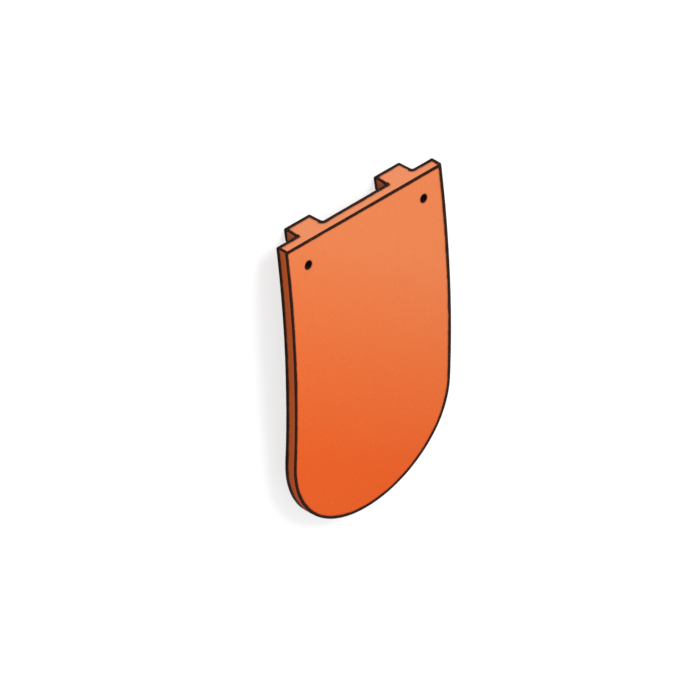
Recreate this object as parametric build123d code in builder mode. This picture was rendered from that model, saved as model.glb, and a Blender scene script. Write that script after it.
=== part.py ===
from build123d import *
import os
from math import asin, atan2, cos, degrees, radians, sin, sqrt, tan

# Clay plain roof tile with a half-round tail, in millimetres.
# It lies face up, as it rests on a level floor: on the feet of its two nibs
# and on the tip of its tail. +Y points to the head, +X to the right with the
# head up, +Z up. The origin is the bottom centre of its bounding box.

# Slab
tile_length = 265.0
tile_width = 160.0
tile_thickness = 10.0
camber_radius = 1000.0

# Nibs that hook over the batten
nib_width = 28.0
nib_depth = 13.0
nib_height = 13.0
nib_spacing = 92.0
nib_draft = 3.0
nib_corner_radius = 3.0
nib_root_radius = 2.0
nib_foot_radius = 1.5

# Nail holes
nail_hole_diameter = 6.5
nail_hole_spacing = 118.0
nail_hole_from_head = 20.0
nail_hole_lip_radius = 0.4

# Edges
head_corner_radius = 1.5
face_arris_radius = 1.0
back_arris_radius = 0.8

# The chord is the straight line on the face from the head to the tip of the tail.
# Heights above it are taken square to it, as are the walls, nibs and holes.
half_length = tile_length / 2
half_angle = asin(half_length / camber_radius)
back_radius = camber_radius - tile_thickness
axis_depth = sqrt(camber_radius**2 - half_length**2)
back_edge = sqrt(back_radius**2 - half_length**2) - axis_depth

# Resting attitude: the nib feet and the tip of the tail touch the floor together.
rest_tilt = atan2(nib_depth, tile_length - 2 * back_arris_radius)

# Middle of the chord, from the centres of the arrises that reach furthest
foot_centre_y = half_length - back_arris_radius
foot_centre_z = back_edge - nib_depth + back_arris_radius * (1 + sin(half_angle)) / cos(half_angle)
tail_centre_y = face_arris_radius - half_length
tail_centre_z = -face_arris_radius * (1 - sin(half_angle)) / cos(half_angle)
foot_reach = foot_centre_y * cos(rest_tilt) - foot_centre_z * sin(rest_tilt) + back_arris_radius
tail_reach = tail_centre_y * cos(rest_tilt) - tail_centre_z * sin(rest_tilt) - face_arris_radius
foot_level = foot_centre_y * sin(rest_tilt) + foot_centre_z * cos(rest_tilt)
chord_y = -(foot_reach + tail_reach) / 2
chord_z = back_arris_radius - foot_level

# Chord plane: its y runs along the chord to the head, its z out of the face
chord_plane = Plane(
    origin=(0, chord_y, chord_z),
    x_dir=(1, 0, 0),
    z_dir=(0, -sin(rest_tilt), cos(rest_tilt)),
)

# Plane along the tile that cuts the bending axis: its x runs along the chord
side_plane = Plane(
    origin=chord_plane.from_local_coords((0, 0, -axis_depth)),
    x_dir=chord_plane.y_dir,
    z_dir=(1, 0, 0),
)

# Plane of the head, looking out of the tile, with its origin on the face
head_plane = Plane(
    origin=chord_plane.from_local_coords((0, half_length, 0)),
    x_dir=(-1, 0, 0),
    z_dir=chord_plane.y_dir,
)

tail_radius = tile_width / 2
nib_embed = tile_thickness / 2
nib_embed_width = nib_width + 2 * nib_embed * tan(radians(nib_draft))
towards_tail = Vector(0, -cos(half_angle - rest_tilt), sin(half_angle - rest_tilt))

with BuildPart() as plain_tile:
    # Clay bent round a large drum, wider than the tile
    with BuildSketch(side_plane):
        Circle(camber_radius)
        Circle(back_radius, mode=Mode.SUBTRACT)
    extrude(amount=tile_width, both=True)

    # Outline with straight sides and a half-round tail, pressed out square to the chord
    with BuildSketch(chord_plane):
        with Locations((0, tail_radius - half_length)):
            Circle(tail_radius)
            Rectangle(tile_width, tile_length - tail_radius, align=(Align.CENTER, Align.MIN))
    extrude(amount=tile_length, both=True, mode=Mode.INTERSECT)

    # Nibs, flush with the head, that follow the back as they run towards the tail
    with BuildSketch(head_plane):
        with Locations((0, back_edge + nib_embed)):
            with GridLocations(nib_spacing, 0, 2, 1):
                Trapezoid(
                    nib_embed_width,
                    nib_embed + nib_depth,
                    90 - nib_draft,
                    rotation=180,
                    align=(Align.CENTER, Align.MIN),
                )
    extrude(amount=nib_height / cos(half_angle), dir=towards_tail)

    # Nail holes
    with Locations(chord_plane):
        with Locations((0, half_length - nail_hole_from_head)):
            with GridLocations(nail_hole_spacing, 0, 2, 1):
                Hole(nail_hole_diameter / 2)

    # Upright corners of the nibs on the batten side, and of the head
    bearing_faces = plain_tile.faces().filter_by(head_plane).sort_by(Axis.Y)[:-1]
    fillet(bearing_faces.edges().filter_by(Axis.X, reverse=True), radius=nib_corner_radius)
    side_faces = plain_tile.faces().filter_by(Axis.X)
    head_face = plain_tile.faces().filter_by(head_plane).sort_by(Axis.Y)[-1]
    fillet(head_face.edges() & side_faces.edges(), radius=head_corner_radius)

    # Roots of the nibs
    back_face = plain_tile.faces().filter_by(GeomType.CYLINDER).sort_by(SortBy.AREA)[-2]
    bearing_faces = plain_tile.faces().filter_by(head_plane).sort_by(Axis.Y)[:-1]
    fillet(back_face.edges() & bearing_faces.edges(), radius=nib_root_radius)

    # Feet of the nibs on the batten side
    bearing_faces = plain_tile.faces().filter_by(head_plane).sort_by(Axis.Y)[:-1]
    foot_edges = bearing_faces.edges().filter_by(Axis.X).group_by(Axis.Z)[0]
    fillet(foot_edges, radius=nib_foot_radius)

    # Arris round the back, over the head ends of the nibs too
    head_face = plain_tile.faces().filter_by(head_plane).sort_by(Axis.Y)[-1]
    fillet(head_face.edges().filter_by(Axis.X).sort_by(Axis.Z)[:-1], radius=back_arris_radius)

    # Arris round the face, and the lips of the nail holes
    front_face = plain_tile.faces().filter_by(GeomType.CYLINDER).sort_by(SortBy.AREA)[-1]
    fillet(front_face.outer_wire().edges(), radius=face_arris_radius)
    front_face = plain_tile.faces().filter_by(GeomType.CYLINDER).sort_by(SortBy.AREA)[-1]
    fillet(front_face.inner_wires().edges(), radius=nail_hole_lip_radius)

plain_tile.part.label = "plain_tile"
os.makedirs("parts", exist_ok=True)
export_step(plain_tile.part, "parts/plain_tile.step")
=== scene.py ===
"""Dresses the clay plain roof tile: its body, its fired clay, the floor, the light and the camera."""

import logging
import math
from dataclasses import dataclass, field
from enum import Enum
from functools import cached_property

import bmesh
import bpy
from mathutils import Matrix, Vector, noise


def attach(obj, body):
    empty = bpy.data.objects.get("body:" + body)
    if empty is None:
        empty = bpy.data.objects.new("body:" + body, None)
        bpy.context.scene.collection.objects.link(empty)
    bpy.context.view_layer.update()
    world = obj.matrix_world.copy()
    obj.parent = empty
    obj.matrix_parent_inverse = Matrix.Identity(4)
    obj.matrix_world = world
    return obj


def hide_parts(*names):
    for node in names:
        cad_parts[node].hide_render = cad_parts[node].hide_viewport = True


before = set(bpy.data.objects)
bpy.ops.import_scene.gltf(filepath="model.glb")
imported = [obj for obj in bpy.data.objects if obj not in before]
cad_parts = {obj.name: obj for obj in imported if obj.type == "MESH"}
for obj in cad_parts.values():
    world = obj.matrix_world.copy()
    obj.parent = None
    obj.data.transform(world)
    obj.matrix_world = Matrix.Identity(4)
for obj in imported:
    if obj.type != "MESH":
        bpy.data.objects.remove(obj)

LOG = logging.getLogger("plain_tile")
MM = 0.001
NODE = "plain_tile"
SLOT = "fired_clay"
BODY = "root"

# Places of the flat clay that are nearer than this, in millimetres, are the same place
TOUCH = 0.01

# Half the side of the block of faces that a nail hole opens, in millimetres
HOLE_BLOCK = 5.0

# The decimals of a millimetre that the cage's places keep
DECIMALS = 4

# The linear red, green and blue of a colour
Colour = tuple[float, float, float]


class Side(Enum):
    """The two sides of the slab, by the depth of each under the face, as a share of the thickness."""

    FACE = 0.0
    BACK = 1.0


class Mark(Enum):
    """What the mesh tells its finish: how far off an arris is, in millimetres, and three shares."""

    ARRIS = "arris"
    # Where the inside of a nail hole is painted dark, as shade
    PAINTED_BORE_SHADE = "bore"
    # Where the head is painted paler, as light from the lamp
    HEAD = "head"
    # Where the side wall is painted one deeper tone, as shade of the side away from the lamp
    WALL = "wall"


@dataclass(frozen=True)
class TileSizes:
    """The tile's sizes in millimetres, as the part has them."""

    length: float = 265.0
    width: float = 160.0
    thickness: float = 10.0
    camber_radius: float = 1000.0
    nib_width: float = 28.0
    nib_depth: float = 13.0
    nib_height: float = 13.0
    nib_spacing: float = 92.0
    nib_draft: float = 3.0
    hole_diameter: float = 6.5
    hole_spacing: float = 118.0
    hole_from_head: float = 20.0
    face_arris: float = 1.0
    back_arris: float = 0.8

    @property
    def half_length(self) -> float:
        """Half the straight length from the head to the tip of the tail."""
        return self.length / 2

    @property
    def half_angle(self) -> float:
        """Half the angle that the bent face takes up about the bending axis, in radians."""
        return math.asin(self.half_length / self.camber_radius)

    @property
    def axis_depth(self) -> float:
        """How far the bending axis lies under the chord of the face."""
        return math.sqrt(self.camber_radius**2 - self.half_length**2)

    @property
    def tail_radius(self) -> float:
        """The radius of the half-round tail."""
        return self.width / 2

    @property
    def tail_start(self) -> float:
        """The distance from the head at which the sides turn into the tail."""
        return self.length - self.tail_radius

    @property
    def nib_taper(self) -> float:
        """How much a flank of a nib comes in for each millimetre that it stands out."""
        return math.tan(math.radians(self.nib_draft))

    @property
    def rest_tilt(self) -> float:
        """The tilt at which the nib feet and the tail tip touch the floor together, in radians."""
        return math.atan2(self.nib_depth, self.length - 2 * self.back_arris)


@dataclass(frozen=True)
class Bend:
    """Bends the flat clay over a drum, with its walls square to the chord, and lays it on the floor."""

    sizes: TileSizes

    @cached_property
    def turn(self) -> Matrix:
        """The turn that lays the chord at its resting tilt."""
        return Matrix.Rotation(self.sizes.rest_tilt, 3, "X")

    @cached_property
    def middle(self) -> Vector:
        """The middle of the chord, with the tile on the floor and centred on the origin."""
        sizes = self.sizes
        lean = math.sin(sizes.half_angle)
        run = math.cos(sizes.half_angle)
        back_edge = self.height(sizes.half_length, sizes.thickness)
        foot_rise = back_edge - sizes.nib_depth + sizes.back_arris * (1 + lean) / run
        foot = self.turn @ Vector((0, sizes.half_length - sizes.back_arris, foot_rise))
        tail_rise = -sizes.face_arris * (1 - lean) / run
        tail = self.turn @ Vector((0, sizes.face_arris - sizes.half_length, tail_rise))
        reach = foot.y + sizes.back_arris + tail.y - sizes.face_arris
        return Vector((0, -reach / 2, sizes.back_arris - foot.z))

    def height(self, along: float, depth: float) -> float:
        """Gives the height over the chord of a point of the clay.

        Args:
            along: its place along the chord, from the middle to the head.
            depth: its depth under the face; below the back it is counted straight down.

        Returns:
            The height, in millimetres.
        """
        inside = min(depth, self.sizes.thickness)
        rise = math.sqrt((self.sizes.camber_radius - inside) ** 2 - along**2)
        return rise - self.sizes.axis_depth - (depth - inside)

    def place(self, flat: Vector) -> Vector:
        """Gives the bent place of a point of the flat clay.

        Args:
            flat: across the tile, minus the distance from the head, minus the depth under the face.

        Returns:
            The point in the row frame, in millimetres.
        """
        along = self.sizes.half_length + flat.y
        bent = Vector((flat.x, along, self.height(along, -flat.z)))
        return self.middle + self.turn @ bent


@dataclass(frozen=True)
class Slab:
    """The flat slab of clay with its half-round tail, as a cage for a subdivision surface."""

    sizes: TileSizes

    # How far the columns and rows that hold a form lie from it
    rim_gap: float = 1.5
    head_gap: float = 1.7
    flank_gaps: tuple[float, float] = (2.5, 1.8)
    hole_gap: float = 1.7

    # The columns and rows between them, from the middle line and from the head
    middle_columns: tuple[float, ...] = (7.0, 14.0, 21.5)
    nib_columns: tuple[float, ...] = (40.0, 46.0, 50.5)
    side_columns: tuple[float, ...] = (69.0, 74.5)
    nib_rows: tuple[float, ...] = (5.5, 9.5)

    # The rest of the rows, the steps round the tail and the rows of the side wall
    row_step: float = 6.0
    tail_steps: int = 44
    wall_depths: tuple[float, ...] = (1.6, 5.0, 8.6)

    def columns(self) -> list[float]:
        """The distances from the middle line at which the cage has columns, on each side.

        Returns:
            The distances, past the nib and the nail hole, out to the edge.
        """
        inner = (self.sizes.nib_spacing - self.sizes.nib_width) / 2
        outer = inner + self.sizes.nib_width
        hole = self.sizes.hole_spacing / 2
        edge = self.sizes.tail_radius
        return [
            *self.middle_columns,
            *(inner - self.flank_gaps[0], inner, inner + self.flank_gaps[1]),
            *self.nib_columns,
            *(hole - HOLE_BLOCK, hole - self.hole_gap, outer, hole + HOLE_BLOCK),
            *self.side_columns,
            *(edge - self.rim_gap, edge),
        ]

    def rows(self) -> list[float]:
        """The distances from the head at which the cage has rows.

        Returns:
            The distances, from the head past the nibs and nail holes to the start of the tail.
        """
        hole = self.sizes.hole_from_head
        last = hole + HOLE_BLOCK
        count = round((self.sizes.tail_start - last) / self.row_step)
        step = (self.sizes.tail_start - last) / count
        return [
            *(0.0, self.head_gap, *self.nib_rows, self.sizes.nib_height),
            *(hole - HOLE_BLOCK, hole - self.hole_gap, hole + self.hole_gap, last),
            *(last + step * (i + 1) for i in range(count)),
        ]

    def build(self, bm: bmesh.types.BMesh) -> None:
        """Makes the slab: a grid, a half turn for the tail, and the thickness.

        Args:
            bm: the empty mesh that takes the slab.
        """
        rows = self.rows()
        columns = [*(-x for x in reversed(self.columns())), 0.0, *self.columns()]
        across = len(columns) - 1
        along = len(rows) - 1
        half = 0.5
        bmesh.ops.create_grid(bm, x_segments=across, y_segments=along, size=half)
        for vert in bm.verts:
            column = round((vert.co.x + half) * across)
            row = round((half - vert.co.y) * along)
            vert.co = Vector((columns[column], -rows[row], 0))
        self._turn_tail(bm)
        self._thicken(bm)

    def _turn_tail(self, bm: bmesh.types.BMesh) -> None:
        """Turns half of the last row about its middle to make the half-round tail.

        Args:
            bm: the mesh that holds the grid.
        """
        start = -self.sizes.tail_start
        row = [
            e for e in bm.edges
            if all(abs(v.co.y - start) < TOUCH and v.co.x > -TOUCH for v in e.verts)
        ]
        verts = dict.fromkeys(v for e in row for v in e.verts)
        bmesh.ops.spin(
            bm,
            geom=[*verts, *row],
            cent=(0, start, 0),
            axis=(0, 0, 1),
            angle=-math.pi,
            steps=self.tail_steps,
            use_merge=False,
        )
        bmesh.ops.remove_doubles(bm, verts=bm.verts[:], dist=TOUCH)
        bmesh.ops.recalc_face_normals(bm, faces=bm.faces[:])

    def _thicken(self, bm: bmesh.types.BMesh) -> None:
        """Gives the sheet its thickness and the rows of its side wall.

        Args:
            bm: the mesh that holds the sheet.
        """
        grown = bmesh.ops.extrude_face_region(bm, geom=bm.faces[:])["geom"]
        lower = [g for g in grown if isinstance(g, bmesh.types.BMVert)]
        bmesh.ops.translate(bm, verts=lower, vec=(0, 0, -self.sizes.thickness))
        wall = [e for e in bm.edges if abs(e.verts[0].co.z - e.verts[1].co.z) > TOUCH]
        cuts = len(self.wall_depths)
        bmesh.ops.subdivide_edges(bm, edges=wall, cuts=cuts, use_grid_fill=True)
        step = self.sizes.thickness / (cuts + 1)
        for vert in bm.verts:
            level = round(-vert.co.z / step)
            if 0 < level <= cuts:
                vert.co.z = -self.wall_depths[level - 1]
        bmesh.ops.recalc_face_normals(bm, faces=bm.faces[:])


@dataclass(frozen=True)
class Nibs:
    """The two nibs, pushed out of the back in line with the head."""

    sizes: TileSizes
    steps: tuple[float, ...] = (2.4, 6.6, 11.3)
    corner_pull: float = 0.8

    def build(self, bm: bmesh.types.BMesh) -> None:
        """Pushes both nibs out of the back of the slab."""
        for side in (-1, 1):
            self._push(bm, side * self.sizes.nib_spacing / 2)

    def _push(self, bm: bmesh.types.BMesh, middle: float) -> None:
        """Pushes one nib out in steps, narrower at each step by its draft.

        Args:
            bm: the mesh that holds the slab.
            middle: the nib's middle across the tile.
        """
        reach = self.sizes.nib_width / 2
        back = -self.sizes.thickness
        region = [
            f for f in bm.faces
            if all(
                abs(v.co.z - back) < TOUCH
                and abs(v.co.x - middle) < reach + TOUCH
                and v.co.y > -self.sizes.nib_height - TOUCH
                for v in f.verts
            )
        ]
        done = 0.0
        for depth in (*self.steps, self.sizes.nib_depth):
            grown = bmesh.ops.extrude_face_region(bm, geom=region)["geom"]
            bmesh.ops.delete(bm, geom=region, context="FACES")
            verts = [g for g in grown if isinstance(g, bmesh.types.BMVert)]
            bmesh.ops.translate(bm, verts=verts, vec=(0, 0, done - depth))
            taper = self.sizes.nib_taper
            narrow = (reach - depth * taper) / (reach - done * taper)
            about = Matrix.Translation((-middle, 0, 0))
            bmesh.ops.scale(bm, verts=verts, vec=(narrow, 1, 1), space=about)
            region = [g for g in grown if isinstance(g, bmesh.types.BMFace)]
            done = depth
        self._round_corners(bm, middle)

    def _round_corners(self, bm: bmesh.types.BMesh, middle: float) -> None:
        """Pulls in the two upright corners on the batten side.

        Args:
            bm: the mesh that holds the nib.
            middle: the nib's middle across the tile.
        """
        batten_side = -self.sizes.nib_height
        for vert in bm.verts:
            below = -vert.co.z - self.sizes.thickness
            off = vert.co.x - middle
            flank = self.sizes.nib_width / 2 - below * self.sizes.nib_taper
            at_corner = abs(vert.co.y - batten_side) < TOUCH and abs(abs(off) - flank) < TOUCH
            if below > -TOUCH and at_corner:
                vert.co.x -= math.copysign(self.corner_pull, off)
                vert.co.y += self.corner_pull


@dataclass(frozen=True)
class NailHoles:
    """The two nail holes, pierced from the face, with a pressed lip there and a low burr behind."""

    sizes: TileSizes
    sides: int = 12
    collar_width: float = 1.2
    lip_width: float = 0.5
    lip_dip: float = 0.1
    burr_width: float = 0.6
    burr_height: float = 0.3
    join_reach: float = 1.0

    def build(self, bm: bmesh.types.BMesh) -> None:
        """Pierces both holes."""
        for side in (-1, 1):
            self._pierce(bm, Vector((side * self.sizes.hole_spacing / 2, -self.sizes.hole_from_head, 0)))

    def _pierce(self, bm: bmesh.types.BMesh, middle: Vector) -> None:
        """Opens one hole through both sides and joins them by its wall.

        Args:
            bm: the mesh that holds the slab.
            middle: the hole's middle on the face.
        """
        radius = self.sizes.hole_diameter / 2 * self._cage_gain()
        deep = self.sizes.thickness
        face = self._open(bm, middle, Side.FACE)
        for ring, depth in (
            (radius + self.collar_width, 0.0),
            (radius + self.lip_width, self.lip_dip),
            (radius, self.lip_dip),
            (radius, self.lip_dip + self.lip_width),
            (radius, deep / 2 - self.join_reach),
        ):
            face = self._ring(bm, face, middle, ring, depth)
        back = self._open(bm, middle, Side.BACK)
        for ring, depth in (
            (radius + self.collar_width, deep),
            (radius + self.burr_width, deep + self.burr_height),
            (radius, deep + self.burr_height),
            (radius, deep - self.burr_width),
            (radius, deep / 2 + self.join_reach),
        ):
            back = self._ring(bm, back, middle, ring, depth)
        bmesh.ops.bridge_loops(bm, edges=[*face, *back])

    def _cage_gain(self) -> float:
        """How much wider a ring of the cage is than the round that its surface gives."""
        return 6 / (4 + 2 * math.cos(2 * math.pi / self.sides))

    def _open(self, bm: bmesh.types.BMesh, middle: Vector, side: Side) -> list[bmesh.types.BMEdge]:
        """Takes the block of faces off one side of the slab.

        Args:
            bm: the mesh that holds the slab.
            middle: the hole's middle on the face.
            side: the side of the slab that is opened.

        Returns:
            The edges round the opening.
        """
        level = -side.value * self.sizes.thickness
        reach = HOLE_BLOCK + TOUCH
        block = [
            f for f in bm.faces
            if all(
                abs(v.co.z - level) < TOUCH
                and abs(v.co.x - middle.x) < reach
                and abs(v.co.y - middle.y) < reach
                for v in f.verts
            )
        ]
        inside = set(block)
        rim = [e for f in block for e in f.edges if sum(g in inside for g in e.link_faces) == 1]
        bmesh.ops.delete(bm, geom=block, context="FACES")
        return [e for e in rim if e.is_valid]

    def _ring(
        self,
        bm: bmesh.types.BMesh,
        loop: list[bmesh.types.BMEdge],
        middle: Vector,
        radius: float,
        depth: float,
    ) -> list[bmesh.types.BMEdge]:
        """Draws a loop of edges on to a ring round the hole.

        Args:
            bm: the mesh.
            loop: the open loop of edges to draw out.
            middle: the hole's middle on the face.
            radius: the ring's radius.
            depth: its depth under the face.

        Returns:
            The edges of the new ring.
        """
        grown = bmesh.ops.extrude_edge_only(bm, edges=loop)["geom"]
        step = 2 * math.pi / self.sides
        for vert in (g for g in grown if isinstance(g, bmesh.types.BMVert)):
            off = vert.co - middle
            turn = (math.floor(math.atan2(off.y, off.x) / step) + 0.5) * step
            vert.co = middle + Vector((radius * math.cos(turn), radius * math.sin(turn), -depth))
        return [g for g in grown if isinstance(g, bmesh.types.BMEdge)]


@dataclass(frozen=True)
class ClayWear:
    """The small unevenness of pressed and fired clay, and the marks that its finish reads.

    All sizes are in millimetres of the flat clay.
    """

    sizes: TileSizes

    # Relief: how high each kind of unevenness is, and how far apart its waves are
    swell: float = 0.10
    swell_size: float = 46.0
    ripple: float = 0.03
    ripple_size: float = 9.0
    arris_wear: float = 0.16
    arris_size: float = 6.5
    arris_reach: float = 1.6

    # The arrises: how many times more a distance counts on a wall than on a face, how near
    # the side a point is on the side wall, and the longest distance that is told
    wall_share: float = 4.0
    side_reach: float = 1.0
    far: float = 5.0

    # The roots of the nibs: where a nib starts under the back, how far down its root
    # reaches, and how far to each side of it the mark spreads
    root_start: float = 0.05
    root_reach: float = 1.2
    root_spread: float = 0.7

    # The nail holes: how far inside its lip the arris of one counts as lying, and how far
    # from its wall and from the face the painted shade inside one starts
    lip_margin: float = 1.95
    bore_margin: float = 0.35

    # Where the fire came from, and where it climbed the wall of the tail
    fire: tuple[float, float, float] = (0.577, -0.577, -0.577)
    fire_gain: float = 0.85
    flare: tuple[float, float, float] = (-0.707, -0.707, 0.0)
    flare_gain: float = 0.8
    flare_power: float = 12.0

    # The head and the side wall, where the finish paints light and shade: how far past its arris the head's
    # mark fades, and the slope at which the side wall's has gone
    head_blend: float = 2.0
    wall_slope: float = 0.7

    def burnt(self, outward: Vector) -> float:
        """Gives how many times wider the arrises of a wall are burnt, from the way that it looks."""
        return 1 + self.fire_gain * max(0.0, outward.dot(Vector(self.fire)))

    def arris_gap(self, point: Vector) -> float:
        """Gives how far a point of the flat clay lies from the nearest arris.

        On the walls the distance from the face, and from the head, counts for more,
        so that a mark round those arrises lies mostly on the broader side of them.
        The distance from a wall towards the fire counts for less.

        Args:
            point: the point, on the surface of the clay.

        Returns:
            The distance in millimetres, and no more than far.
        """
        on_nib = -point.z - self.sizes.thickness > self.root_start
        walls = self._from_nib_walls(point) if on_nib else self._from_slab_walls(point)
        nearest = sorted(max(0.0, wall) for wall in walls)[:2]
        return min(self.far, math.hypot(*nearest))

    def _from_nib_walls(self, point: Vector) -> list[float]:
        """Gives how far a point of a nib lies from the nib's walls, as the burnt arrises count it.

        Args:
            point: the point.

        Returns:
            The distances from the flank, the head, the foot and, below the root, the batten side.
        """
        sizes = self.sizes
        below = -point.z - sizes.thickness
        inset, sideways = self._inside_flank(point)
        root = max(0.0, 1 - below / self.root_reach)
        flank = max(0.0, abs(inset) - self.root_spread * root) / sideways
        steep = self.wall_share - (self.wall_share - 1) * root
        foot = (sizes.nib_depth - below) / self.burnt(Vector((0, 0, -1)))
        walls = [flank, -point.y * steep, foot]
        if below > self.root_reach:
            walls.append((sizes.nib_height + point.y) / self.burnt(Vector((0, -1, 0))))
        return walls

    def _from_slab_walls(self, point: Vector) -> list[float]:
        """Gives how far a point of the slab lies from its walls, as the burnt arrises count it.

        Args:
            point: the point.

        Returns:
            The distances from the side, the head, the face, the back and, near the face, a nail hole.
        """
        sizes = self.sizes
        depth = -point.z
        outward = Vector((point.x, min(0.0, point.y + sizes.tail_start), 0))
        side = sizes.tail_radius - outward.length
        outward.normalize()
        low = self.burnt(Vector((0, 0, -1)))
        steep = 1
        if side < min(depth, self.side_reach):
            steep = self.wall_share
            low *= 1 + self.flare_gain * max(0.0, outward.dot(Vector(self.flare))) ** self.flare_power
        inset, sideways = self._inside_flank(point)
        over_nib = -point.y < sizes.nib_height
        behind = max(0.0, inset - self.root_spread) / sideways if over_nib else 0
        back = math.hypot(behind, (depth - sizes.thickness) / low)
        walls = [side / self.burnt(outward), -point.y * steep, depth * self.wall_share, back]
        if depth < sizes.thickness / 2:
            walls.append(self._from_hole(point) - sizes.hole_diameter / 2 + self.lip_margin)
        return walls

    def _inside_flank(self, point: Vector) -> tuple[float, float]:
        """Gives where a point lies to the nearer flank of the nearer nib.

        Args:
            point: a point of the flat clay.

        Returns:
            How far inside the flank it lies, and how many times wider the flank is burnt.
        """
        off = point.x - math.copysign(self.sizes.nib_spacing / 2, point.x)
        below = max(0.0, -point.z - self.sizes.thickness)
        inset = self.sizes.nib_width / 2 - below * self.sizes.nib_taper - abs(off)
        return inset, self.burnt(Vector((math.copysign(1, off), 0, 0)))

    def _from_hole(self, point: Vector) -> float:
        """Gives how far a point of the flat clay lies from the middle line of the nearest nail hole."""
        across = abs(point.x) - self.sizes.hole_spacing / 2
        return math.hypot(across, point.y + self.sizes.hole_from_head)

    def painted_bore_shade_mask(self, point: Vector) -> float:
        """Gives the share of painted shade inside a nail hole: 1 for a point of the flat clay inside one,
        below its lip, and 0 elsewhere.
        """
        inside = self._from_hole(point) < self.sizes.hole_diameter / 2 + self.bore_margin
        return float(inside and point.z < -self.bore_margin)

    def painted_head_light_mask(self, point: Vector) -> float:
        """Gives the share of painted light on the head: 1 for a point of the flat clay on the head, and
        less just past its arris, down to 0.
        """
        return min(1.0, max(0.0, 1 + point.y / self.head_blend))

    def painted_wall_shade_mask(self, point: Vector, outward: Vector) -> float:
        """Gives the share of painted shade on the walls: 1 on the side wall and the wall of the tail, and
        less round their arrises, down to 0.
        """
        upright = max(0.0, 1 - abs(outward.z) / self.wall_slope)
        return upright if -point.z < self.sizes.thickness and outward.y < self.wall_slope else 0.0

    def marks(self, point: Vector, outward: Vector) -> dict[Mark, float]:
        """Gives all marks at a point of the flat clay.

        Args:
            point: the point.
            outward: the way that the clay looks there.

        Returns:
            Each mark's value.
        """
        return {
            Mark.ARRIS: self.arris_gap(point),
            Mark.PAINTED_BORE_SHADE: self.painted_bore_shade_mask(point),
            Mark.HEAD: self.painted_head_light_mask(point),
            Mark.WALL: self.painted_wall_shade_mask(point, outward),
        }

    def rise(self, point: Vector, gap: float) -> float:
        """Gives how far the clay stands out from its even surface.

        Args:
            point: a point of the flat clay.
            gap: its distance from the nearest arris.

        Returns:
            The height in millimetres, below 0 where the clay is worn.
        """
        rise = self.swell * noise.noise(point / self.swell_size)
        rise += self.ripple * noise.noise(point / self.ripple_size)
        edge = max(0.0, 1.0 - gap / self.arris_reach)
        return rise - self.arris_wear * edge * abs(noise.noise(point / self.arris_size))

    def apply(self, bm: bmesh.types.BMesh, bend: Bend) -> None:
        """Marks the clay for its finish, swells its faces a little, wears its arrises and bends it.

        Args:
            bm: the fine flat mesh.
            bend: what takes it to its place.
        """
        layers = {mark: bm.verts.layers.float.new(mark.value) for mark in Mark}
        bm.normal_update()
        moves = {}
        for vert in bm.verts:
            marks = self.marks(vert.co, vert.normal)
            for mark, value in marks.items():
                vert[layers[mark]] = value
            moves[vert] = vert.normal * self.rise(vert.co, marks[Mark.ARRIS])
        for vert, move in moves.items():
            vert.co = bend.place(vert.co + move)


class Signal:
    """A shader socket that takes part in Python expressions."""

    def __init__(self, shader: "Shader", socket: bpy.types.NodeSocket) -> None:
        """Keeps the node tree and the socket."""
        self.shader = shader
        self.socket = socket

    def _math(self, operation: str, *values: "Signal | float") -> "Signal":
        """Adds a Math node on these values."""
        return self.shader.node("ShaderNodeMath", {"operation": operation}, dict(enumerate(values)))

    def __add__(self, other: "Signal | float") -> "Signal":
        """Adds."""
        return self._math("ADD", self, other)

    def __radd__(self, other: float) -> "Signal":
        """Adds to a number."""
        return self._math("ADD", other, self)

    def __sub__(self, other: "Signal | float") -> "Signal":
        """Subtracts."""
        return self._math("SUBTRACT", self, other)

    def __rsub__(self, other: float) -> "Signal":
        """Subtracts from a number."""
        return self._math("SUBTRACT", other, self)

    def __mul__(self, other: "Signal | float") -> "Signal":
        """Multiplies."""
        return self._math("MULTIPLY", self, other)

    def __rmul__(self, other: float) -> "Signal":
        """Multiplies a number."""
        return self._math("MULTIPLY", other, self)

    def clamp(self) -> "Signal":
        """Keeps the value between 0 and 1."""
        return self.shader.node("ShaderNodeClamp", {}, {"Value": self})

    def smooth(self, low: float, high: float) -> "Signal":
        """Turns the value into a smooth step from 0 at low to 1 at high.

        Args:
            low: where the step starts.
            high: where it ends.

        Returns:
            The step.
        """
        settings = {"interpolation_type": "SMOOTHSTEP"}
        inputs = {"Value": self, "From Min": low, "From Max": high}
        return self.shader.node("ShaderNodeMapRange", settings, inputs)


@dataclass(frozen=True)
class Grain:
    """A soft noise: how fine it is, its octaves, and how strong the finer ones are."""

    scale: float
    detail: float
    roughness: float


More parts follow.
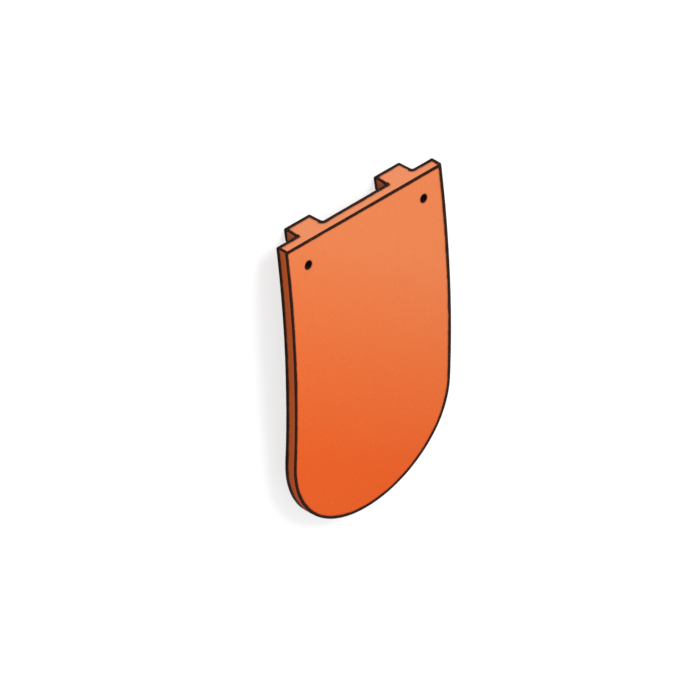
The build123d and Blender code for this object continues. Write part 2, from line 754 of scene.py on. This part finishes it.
class Shader:
    """A material's node tree, written as Python expressions."""

    def __init__(self, tree: bpy.types.NodeTree) -> None:
        """Empties the tree."""
        self.tree = tree
        tree.nodes.clear()

    def node(self, kind: str, settings: dict, inputs: dict, output: int | str = 0) -> Signal:
        """Adds a node.

        Args:
            kind: the node's type.
            settings: its settings; stops sets the colour ramp's stops.
            inputs: values or signals by the socket's name or number.
            output: the output that the signal reads.

        Returns:
            The output as a signal.
        """
        made = self.tree.nodes.new(kind)
        for name, value in settings.items():
            if name == "stops":
                self._stops(made.color_ramp, value)
            else:
                setattr(made, name, value)
        for name, value in inputs.items():
            if isinstance(value, Signal):
                self.tree.links.new(value.socket, made.inputs[name])
            else:
                made.inputs[name].default_value = value
        return Signal(self, made.outputs[output])

    @staticmethod
    def _stops(ramp: bpy.types.ColorRamp, stops: list[tuple[float, Colour]]) -> None:
        """Sets a colour ramp's stops.

        Args:
            ramp: the ramp.
            stops: the place and the colour of each.
        """
        while len(ramp.elements) < len(stops):
            ramp.elements.new(1.0)
        for element, (place, colour) in zip(ramp.elements, stops):
            element.position = place
            element.color = (*colour, 1)

    def mix(self, share: Signal | float, first: Signal | tuple, second: Signal | tuple) -> Signal:
        """Mixes two colours, with this share of the second."""
        inputs = {0: share, 6: first, 7: second}
        return self.node("ShaderNodeMix", {"data_type": "RGBA"}, inputs, output=2)

    def vector(
        self,
        operation: str,
        first: Signal | tuple,
        second: Signal | tuple,
        output: int | str = 0,
    ) -> Signal:
        """Works on two vectors and reads one output of the result."""
        return self.node("ShaderNodeVectorMath", {"operation": operation}, {0: first, 1: second}, output)

    def noise(self, place: Signal, grain: Grain) -> Signal:
        """Gives a soft noise.

        Args:
            place: where it is read.
            grain: what it is like.

        Returns:
            The noise, from 0 to 1.
        """
        inputs = {
            "Vector": place,
            "Scale": grain.scale,
            "Detail": grain.detail,
            "Roughness": grain.roughness,
        }
        return self.node("ShaderNodeTexNoise", {}, inputs)

    def mark(self, mark: Mark) -> Signal:
        """Reads one of the mesh's own marks."""
        return self.node("ShaderNodeAttribute", {"attribute_name": mark.value}, {}, "Fac")

    def backdrop(self) -> Signal:
        """Gives 1 where the surface is seen straight or in a mirror or glass, and 0 where it only lights.

        Returns:
            The share.
        """
        camera = self.node("ShaderNodeLightPath", {}, {}, "Is Camera Ray")
        glossy = self.node("ShaderNodeLightPath", {}, {}, "Is Glossy Ray")
        through = self.node("ShaderNodeLightPath", {}, {}, "Is Transmission Ray")
        return (camera + glossy + through).clamp()

    def finish(self, surface: Signal, kind: str = "ShaderNodeOutputMaterial") -> None:
        """Links the finished surface to the tree's output, a node of this type."""
        output = self.tree.nodes.new(kind)
        self.tree.links.new(surface.socket, output.inputs["Surface"])


def linear(red: float, green: float, blue: float) -> Colour:
    """Gives the linear colour of an 8-bit screen colour.

    Args:
        red: from 0 to 255.
        green: from 0 to 255.
        blue: from 0 to 255.

    Returns:
        The three linear parts.
    """
    parts = []
    for value in (red, green, blue):
        share = value / 255
        parts.append(share / 12.92 if share <= 0.04045 else ((share + 0.055) / 1.055) ** 2.4)
    return tuple(parts)


@dataclass(frozen=True)
class FiredClay:
    """Matt orange clay with fine sand in it, burnt at its arrises; paler at the head and deeper towards the
    tail, partly its fired colour and partly painted light, with painted shade on its side wall and inside
    its nail holes.
    """

    # The change of colour along the tile, and by its skew across it, in metres from the
    # middle of the head, with soft clouds, partly the clay's fired colour and partly painted
    # light, paler towards the head and the lamp's side; and the one place in it that the side wall has, as
    # painted shade
    pale: Colour = linear(237, 133, 81)
    middle: Colour = linear(239, 116, 59)
    deep: Colour = linear(242, 99, 37)
    skew: float = 0.68
    fade_start: float = 0.029
    fade_length: float = 0.200
    clouds: Grain = Grain(28, 3, 0.55)
    cloud_share: float = 0.10
    painted_wall_shade_place: float = 0.6

    # The head, painted paler as light where the lamp falls on it, and painted shade inside the nail holes,
    # a dark core
    painted_head_light_tone: Colour = linear(255, 170, 128)
    painted_head_light_share: float = 0.38
    painted_bore_shade_tone: Colour = linear(30, 20, 17)
    painted_bore_shade_edge: tuple[float, float] = (0.1, 0.9)

    # Pale and dark grains of sand
    sand: Grain = Grain(520, 2, 0.6)
    pale_sand: Colour = (1.0, 0.62, 0.38)
    pale_share: float = 0.05
    pale_range: tuple[float, float] = (0.55, 0.75)
    dark_sand: Colour = (0.30, 0.07, 0.02)
    dark_share: float = 0.12
    dark_range: tuple[float, float] = (0.42, 0.25)

    # The burnt arrises, in millimetres: their ragged edge, the specks in them, and the
    # toasted clay from a little inside that edge to some way outside it
    arris_tone: Colour = linear(24, 16, 13)
    arris_width: float = 2.42
    arris_softness: float = 0.32
    fine_rag: Grain = Grain(260, 4, 0.65)
    fine_reach: float = 0.65
    broad_rag: Grain = Grain(75, 2, 0.5)
    broad_reach: float = 0.75
    specks: Grain = Grain(1500, 2, 0.6)
    speck_reach: float = 0.45
    speck_share: float = 0.18
    speck_range: tuple[float, float] = (0.5, 0.72)
    toast_tone: Colour = linear(150, 62, 30)
    toast_share: float = 0.40
    toast_inside: float = 0.2
    toast_outside: float = 1.3

    # The matt surface, and its relief of fine sand and of the drag along the tile
    roughness: float = 0.82
    rough_change: float = 0.12
    shine: float = 0.10
    grit: Grain = Grain(900, 3, 0.6)
    drag: Grain = Grain(600, 2, 0.5)
    drag_stretch: tuple[float, float, float] = (1, 0.04, 1)
    drag_share: float = 0.6
    bump_strength: float = 0.35
    bump_depth: float = 0.0004

    def material(self, head: Vector) -> bpy.types.Material:
        """Makes the material.

        Args:
            head: the middle of the head on the face, where the change of colour is measured from.

        Returns:
            The material.
        """
        made = bpy.data.materials.new(SLOT)
        made.use_nodes = True
        shader = Shader(made.node_tree)
        place = shader.node("ShaderNodeTexCoord", {}, {}, "Object")
        colour = self._clay_with_painted_light(shader, place, head)
        colour = self._burnt_arrises(shader, place, colour)
        # Painted shade: the inside of the nail holes is painted a dark core colour
        painted_bore_shade_share = shader.mark(Mark.PAINTED_BORE_SHADE).smooth(*self.painted_bore_shade_edge)
        grit = shader.noise(place, self.grit)
        surface = shader.node(
            "ShaderNodeBsdfPrincipled",
            {},
            {
                "Base Color": shader.mix(painted_bore_shade_share, colour, (*self.painted_bore_shade_tone, 1)),
                "Roughness": self.roughness + self.rough_change * (grit - 0.5),
                "Specular IOR Level": self.shine,
                "Normal": self._relief(shader, place, grit),
            },
        )
        shader.finish(surface)
        return made

    def _clay_with_painted_light(self, shader: Shader, place: Signal, head: Vector) -> Signal:
        """The clay's colour with painted light: its change along the tile, partly fired colour and partly
        painted light, soft clouds, sand, and the head painted paler as light.

        Args:
            shader: the material's tree.
            place: where the noises are read.
            head: the middle of the head on the face.

        Returns:
            The colour.
        """
        # Partly the clay's fired colour and partly painted light: paler towards the head and the lamp's
        # side, deeper towards the tail
        offset = shader.vector("SUBTRACT", place, tuple(head))
        along = shader.vector("DOT_PRODUCT", offset, (-self.skew, -1, 0), "Value")
        clouds = self.cloud_share * (shader.noise(place, self.clouds) - 0.5)
        fade = ((along - self.fade_start) * (1 / self.fade_length) + clouds).clamp()
        # Painted shade: the side wall is held at one deeper tone of the ramp
        fade = fade + shader.mark(Mark.WALL) * (self.painted_wall_shade_place - fade)
        stops = [(0.0, self.pale), (0.5, self.middle), (1.0, self.deep)]
        colour = shader.node("ShaderNodeValToRGB", {"stops": stops}, {"Fac": fade})
        sand = shader.noise(place, self.sand)
        pale_grains = self.pale_share * sand.smooth(*self.pale_range)
        dark_grains = self.dark_share * sand.smooth(*self.dark_range)
        colour = shader.mix(pale_grains, colour, (*self.pale_sand, 1))
        colour = shader.mix(dark_grains, colour, (*self.dark_sand, 1))
        # Painted light: the head, which looks to the lamp, is made paler
        return shader.mix(self.painted_head_light_share * shader.mark(Mark.HEAD), colour, (*self.painted_head_light_tone, 1))

    def _burnt_arrises(self, shader: Shader, place: Signal, colour: Signal) -> Signal:
        """Burns the arrises dark, with an uneven edge that fades through toasted clay.

        Args:
            shader: the material's tree.
            place: where the noises are read.
            colour: the clay's colour.

        Returns:
            The colour with dark arrises.
        """
        specks = shader.noise(place, self.specks)
        ragged = shader.mark(Mark.ARRIS) + self.fine_reach * (shader.noise(place, self.fine_rag) - 0.5)
        ragged = ragged + self.broad_reach * (shader.noise(place, self.broad_rag) - 0.5)
        ragged = ragged + self.speck_reach * (specks - 0.5)
        width = self.arris_width
        toasted = 1 - ragged.smooth(width - self.toast_inside, width + self.toast_outside)
        burnt = 1 - ragged.smooth(width - self.arris_softness, width + self.arris_softness)
        burnt = burnt * (1 - self.speck_share * specks.smooth(*self.speck_range))
        colour = shader.mix(self.toast_share * toasted, colour, (*self.toast_tone, 1))
        return shader.mix(burnt, colour, (*self.arris_tone, 1))

    def _relief(self, shader: Shader, place: Signal, grit: Signal) -> Signal:
        """The fine relief: sand and the drag of the clay along the tile.

        Args:
            shader: the material's tree.
            place: where the noises are read.
            grit: the noise of the sand.

        Returns:
            The bumped normal.
        """
        drawn = shader.vector("MULTIPLY", place, self.drag_stretch)
        height = grit + self.drag_share * shader.noise(drawn, self.drag)
        inputs = {"Strength": self.bump_strength, "Distance": self.bump_depth, "Height": height}
        return shader.node("ShaderNodeBump", {}, inputs)


def ordered_mesh(bm: bmesh.types.BMesh, name: str) -> bpy.types.Mesh:
    """Gives a mesh whose order is the same in each run, and not that of where it lay in memory.

    Args:
        bm: what is built, in millimetres, with no two points in one place.
        name: the mesh's name.

    Returns:
        The mesh, with its places rounded far below what can be seen.
    """
    places = {vert: tuple(round(part, DECIMALS) for part in vert.co) for vert in bm.verts}
    points = sorted(places.values())
    number = {place: index for index, place in enumerate(points)}
    faces = []
    for face in bm.faces:
        loop = [number[places[vert]] for vert in face.verts]
        first = loop.index(min(loop))
        faces.append(loop[first:] + loop[:first])
    mesh = bpy.data.meshes.new(name)
    mesh.from_pydata(points, [], sorted(faces))
    return mesh


@dataclass(frozen=True)
class PlainTile:
    """The whole tile: one piece of fired clay."""

    sizes: TileSizes = field(default_factory=TileSizes)
    clay: FiredClay = field(default_factory=FiredClay)
    levels: int = 2

    def build(self) -> bpy.types.Object:
        """Builds the tile's body and dresses it.

        Returns:
            The finished piece.
        """
        bend = Bend(self.sizes)
        cage = self._cage()
        body = self._refine(cage, bend)
        piece = bpy.data.objects.new("tile_body", body)
        bpy.context.scene.collection.objects.link(piece)
        head = bend.place(Vector((0, 0, 0))) * MM
        piece.data.materials.append(self.clay.material(head))
        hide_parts(NODE)
        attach(piece, BODY)
        return piece

    def _cage(self) -> bpy.types.Object:
        """Makes the flat cage with its nibs and holes, under a subdivision surface.

        Returns:
            The cage.
        """
        bm = bmesh.new()
        Slab(self.sizes).build(bm)
        Nibs(self.sizes).build(bm)
        NailHoles(self.sizes).build(bm)
        bmesh.ops.recalc_face_normals(bm, faces=bm.faces[:])
        open_edges = [e for e in bm.edges if len(e.link_faces) != 2]
        LOG.info("cage: %d faces, %d open edges", len(bm.faces), len(open_edges))
        mesh = ordered_mesh(bm, "tile_cage")
        bm.free()
        cage = bpy.data.objects.new("tile_cage", mesh)
        bpy.context.scene.collection.objects.link(cage)
        rounding = cage.modifiers.new("rounding", "SUBSURF")
        rounding.levels = rounding.render_levels = self.levels
        return cage

    def _refine(self, cage: bpy.types.Object, bend: Bend) -> bpy.types.Mesh:
        """Rounds the cage, wears and bends it, and takes it to metres.

        Args:
            cage: the flat cage.
            bend: what takes it to its place.

        Returns:
            The finished mesh.
        """
        graph = bpy.context.evaluated_depsgraph_get()
        fine = bpy.data.meshes.new_from_object(cage.evaluated_get(graph))
        bpy.data.objects.remove(cage)
        bm = bmesh.new()
        bm.from_mesh(fine)
        ClayWear(self.sizes).apply(bm, bend)
        bmesh.ops.scale(bm, verts=bm.verts[:], vec=(MM, MM, MM))
        bmesh.ops.recalc_face_normals(bm, faces=bm.faces[:])
        for face in bm.faces:
            face.smooth = True
        bm.to_mesh(fine)
        bm.free()
        return fine


@dataclass(frozen=True)
class Floor:
    """A plain pale floor, white to the camera, that keeps the tile's shadow."""

    size: float = 6.0
    tone: float = 0.36
    lift: float = 0.75

    def build(self) -> bpy.types.Object:
        """Makes the floor.

        Returns:
            The floor.
        """
        bm = bmesh.new()
        bmesh.ops.create_grid(bm, x_segments=2, y_segments=2, size=self.size / 2)
        mesh = bpy.data.meshes.new("floor")
        bm.to_mesh(mesh)
        bm.free()
        floor = bpy.data.objects.new("floor", mesh)
        bpy.context.scene.collection.objects.link(floor)
        mesh.materials.append(self._material())
        return floor

    def _material(self) -> bpy.types.Material:
        """Pale and matt, with its whiteness lifted where it is seen straight.

        Returns:
            The material.
        """
        made = bpy.data.materials.new("floor_white")
        made.use_nodes = True
        shader = Shader(made.node_tree)
        lift = shader.mix(shader.backdrop(), (0, 0, 0, 1), (self.lift, self.lift, self.lift, 1))
        surface = shader.node(
            "ShaderNodeBsdfPrincipled",
            {},
            {
                "Base Color": (self.tone, self.tone, self.tone, 1),
                "Roughness": 1.0,
                "Specular IOR Level": 0.0,
                "Emission Color": lift,
                "Emission Strength": 1.0,
            },
        )
        shader.finish(surface)
        return made


@dataclass(frozen=True)
class StudioLight:
    """One broad soft lamp from the head's right, and an even pale surround."""

    towards: tuple[float, float, float] = (0.35, 0.66, 0.66)
    strength: float = 2.4
    softness: float = 0.55
    surround: float = 0.48

    def build(self) -> None:
        """Makes the lamp and the surround."""
        lamp = bpy.data.lights.new("studio_lamp", "SUN")
        lamp.energy = self.strength
        lamp.angle = self.softness
        holder = bpy.data.objects.new("studio_lamp", lamp)
        holder.rotation_mode = "QUATERNION"
        holder.rotation_quaternion = Vector(self.towards).to_track_quat("Z", "Y")
        bpy.context.scene.collection.objects.link(holder)
        world = bpy.data.worlds.new("surround")
        bpy.context.scene.world = world
        world.use_nodes = True
        shader = Shader(world.node_tree)
        plain = (self.surround, self.surround, self.surround, 1)
        colour = shader.mix(shader.backdrop(), plain, (1, 1, 1, 1))
        glow = shader.node("ShaderNodeBackground", {}, {"Color": colour, "Strength": 1.0})
        shader.finish(glow, "ShaderNodeOutputWorld")


@dataclass(frozen=True)
class PhotoCamera:
    """The camera at the photograph's angle: straight, with no perspective.

    The line of sight has the same angle to each of the tile's three directions, and
    drawn_turn is the small turn, in degrees, that the photograph has besides.
    """

    pixels: int = 700
    pixels_per_mm: float = 1.3810
    corner_pixel: tuple[float, float] = (285.45, 252.95)
    drawn_turn: float = 0.56
    distance: float = 2.0

    def build(self, sizes: TileSizes) -> None:
        """Makes the camera so that the head's left corner falls where the photograph has it.

        Args:
            sizes: the tile's sizes.
        """
        bend = Bend(sizes)
        turn = bend.turn @ Matrix.Rotation(math.radians(self.drawn_turn), 3, "X")
        back = (turn @ Vector((-1, 1, 1))).normalized()
        up = (turn @ Vector((1, 2, -1))).normalized()
        right = up.cross(back)
        corner = bend.place(Vector((-sizes.width / 2, 0, 0)))
        half = self.pixels / 2
        aside = right * ((half - self.corner_pixel[0]) / self.pixels_per_mm)
        above = up * ((self.corner_pixel[1] - half) / self.pixels_per_mm)
        middle = corner + aside + above
        data = bpy.data.cameras.new("photo_camera")
        data.type = "ORTHO"
        data.ortho_scale = self.pixels / self.pixels_per_mm * MM
        camera = bpy.data.objects.new("photo_camera", data)
        turned = Matrix((right, up, back)).transposed().to_4x4()
        camera.matrix_world = Matrix.Translation(middle * MM + back * self.distance) @ turned
        bpy.context.scene.collection.objects.link(camera)
        bpy.context.scene.camera = camera


def main() -> None:
    """Builds the tile and its setting."""
    logging.basicConfig(level=logging.INFO, format="%(name)s: %(message)s")
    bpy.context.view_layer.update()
    bpy.context.scene.view_settings.view_transform = "Standard"
    tile = PlainTile()
    piece = tile.build()
    LOG.info("built %s with %d faces", piece.name, len(piece.data.polygons))
    floor = Floor().build()
    LOG.info("built %s", floor.name)
    StudioLight().build()
    PhotoCamera().build(tile.sizes)


if __name__ == "__main__":
    main()
